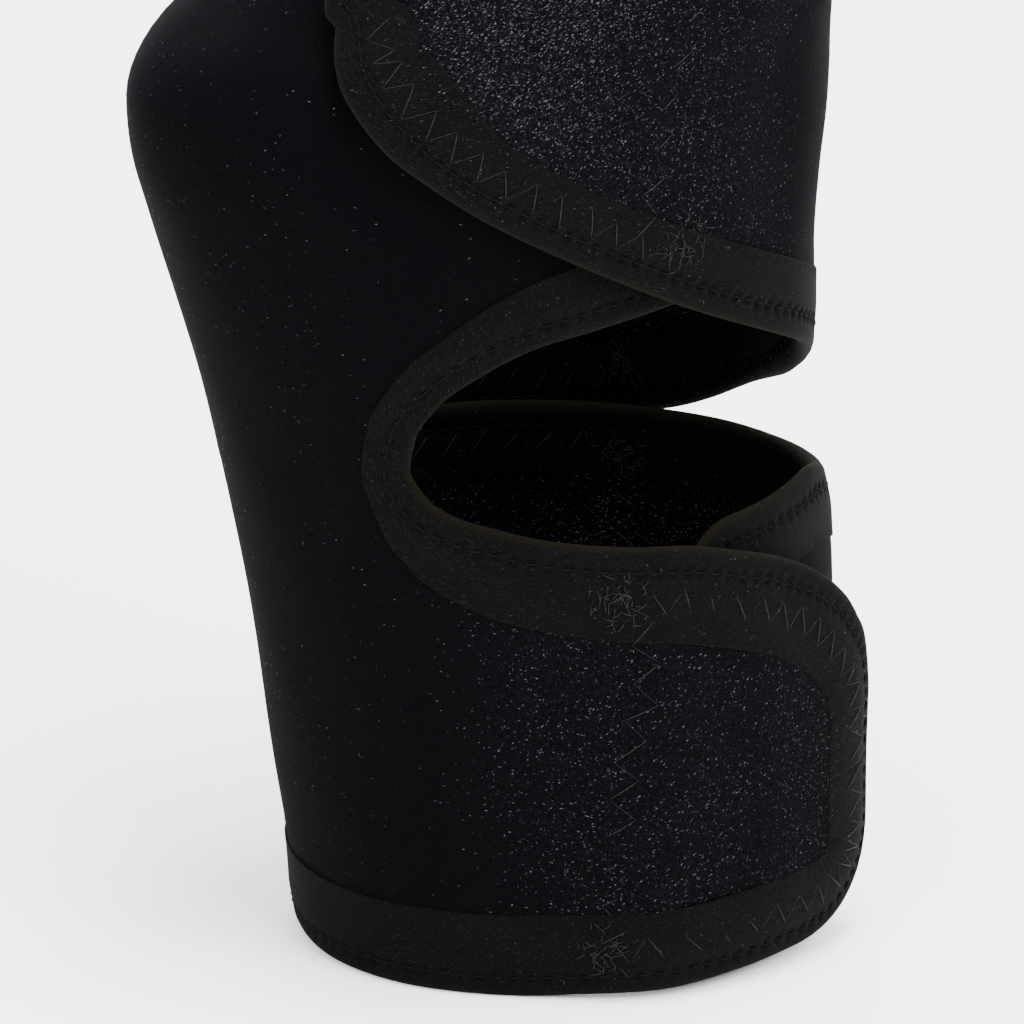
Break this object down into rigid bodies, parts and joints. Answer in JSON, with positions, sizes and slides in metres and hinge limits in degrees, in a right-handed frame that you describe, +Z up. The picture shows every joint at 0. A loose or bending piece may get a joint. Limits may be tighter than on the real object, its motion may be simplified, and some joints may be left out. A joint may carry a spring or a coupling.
{
  "type": "ankle support",
  "caption": "Wrap-around padded ankle support, closed by an outer strap and an outer flap, with an eye-shaped side opening, taped edges and hook patches inside the strap ends.",
  "frame": {"origin": "on the surface it stands on, under the middle of its box", "axes": "+Z up from the bottom rim to the top rim; the heel bulge faces -X; the eye-shaped opening is on the -Y side"},
  "size_m": [0.122, 0.0956, 0.1966],
  "materials": {
    "napped_neoprene": "matt napped nylon face on foam rubber, near black with a blue cast",
    "binding_tape": "matt woven tape, very dark warm grey",
    "hook_tape": "black nylon hooks on a woven backing"
  },
  "bodies": {
    "root": {"wrap_panel": "napped_neoprene", "upper_hook_patch": "hook_tape", "lower_hook_patch": "hook_tape", "bottom_binding": "binding_tape", "opening_binding": "binding_tape", "strap_binding": "binding_tape", "top_binding": "binding_tape"}
  },
  "joints": []
}
